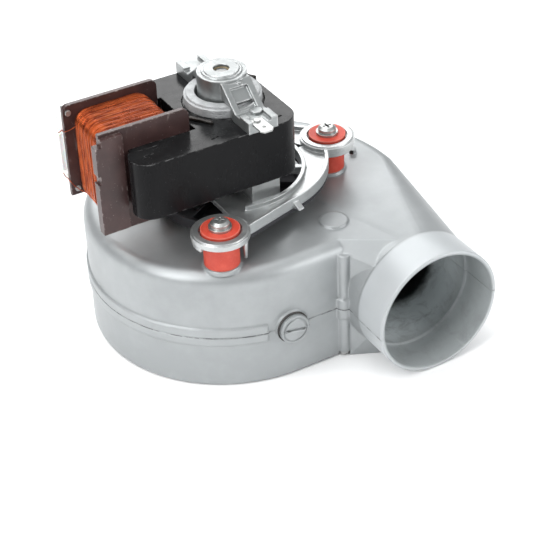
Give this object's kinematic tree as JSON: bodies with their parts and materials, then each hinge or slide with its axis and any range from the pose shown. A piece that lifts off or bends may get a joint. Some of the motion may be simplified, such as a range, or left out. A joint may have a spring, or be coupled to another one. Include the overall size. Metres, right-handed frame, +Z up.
{
  "type": "flue gas combustion fan",
  "caption": "Boiler flue fan: split cast volute with round outlet spigot, blade wheel and shaded-pole motor on silicone bushes.",
  "frame": {"origin": "centre of the inlet opening on the flat base face", "axes": "+Z up along the shaft towards the motor, -Y the way the outlet spigot opens, -X towards the coil"},
  "size_m": [0.1575, 0.1657, 0.1254],
  "materials": {
    "cast": "sand-blasted die-cast aluminium, matte",
    "bracket": "bright die-cast zinc alloy",
    "bracket_top": "grey die-cast zinc alloy",
    "steel": "zinc plated steel",
    "wheel": "aluminised sheet steel",
    "rubber_dark": "black fibre-rubber gasket",
    "graphite": "pressed graphite",
    "bronze": "sintered bronze",
    "felt": "oil-soaked wool felt",
    "lamination": "stacked laminations, black varnish",
    "cage": "raw pressure-cast aluminium",
    "copper": "varnished copper bar",
    "wire": "enamelled copper wire",
    "tape": "polyester tape",
    "bobbin": "dark brown glass-filled nylon",
    "nylon": "milky nylon",
    "silicone": "red silicone rubber",
    "fan_black": "black moulded plastic"
  },
  "bodies": {
    "housing": {"upper_shell": "cast", "lower_shell": "cast", "shell_screws": "steel", "side_plug": "cast", "plug_gasket": "rubber_dark", "inlet_ring": "wheel", "inlet_rivets": "steel", "shaft_seal": "graphite", "seal_plate": "steel", "seal_rivets": "steel", "lower_bracket": "bracket", "guard_plate": "fan_black", "lower_bearing": "bronze", "lower_bearing_clip": "steel", "lower_felt": "felt", "upper_bracket": "bracket_top", "upper_bearing": "bronze", "upper_bearing_clip": "steel", "upper_felt": "felt", "stator_stack": "lamination", "coil_core": "lamination", "shading_rings": "copper", "bobbin": "bobbin", "coil_winding": "wire", "coil_tape": "tape", "terminal_block": "nylon", "terminal_tabs": "steel", "lead_wires": "wire", "flange_pins": "steel", "stator_rivets": "steel", "earth_tab": "steel", "earth_rivet": "steel", "mount_bushes": "silicone", "bush_sleeves": "steel", "bush_washers": "steel", "mount_screws": "steel"},
    "rotor": {"shaft": "steel", "rotor_core": "lamination", "rotor_cage": "cage", "thrust_washers": "bronze", "cooling_fan": "fan_black", "fan_clip": "steel", "impeller_hub": "steel", "impeller_disc": "wheel", "impeller_blades": "wheel", "impeller_shroud": "wheel", "impeller_rivets": "steel", "impeller_nut": "steel", "impeller_washer": "steel"}
  },
  "joints": [
    {"name": "rotor_spin", "type": "hinge", "parent": "housing", "child": "rotor", "pos_m": [0, 0, 0.06], "axis": [0, 0, 1], "continuous": true}
  ]
}
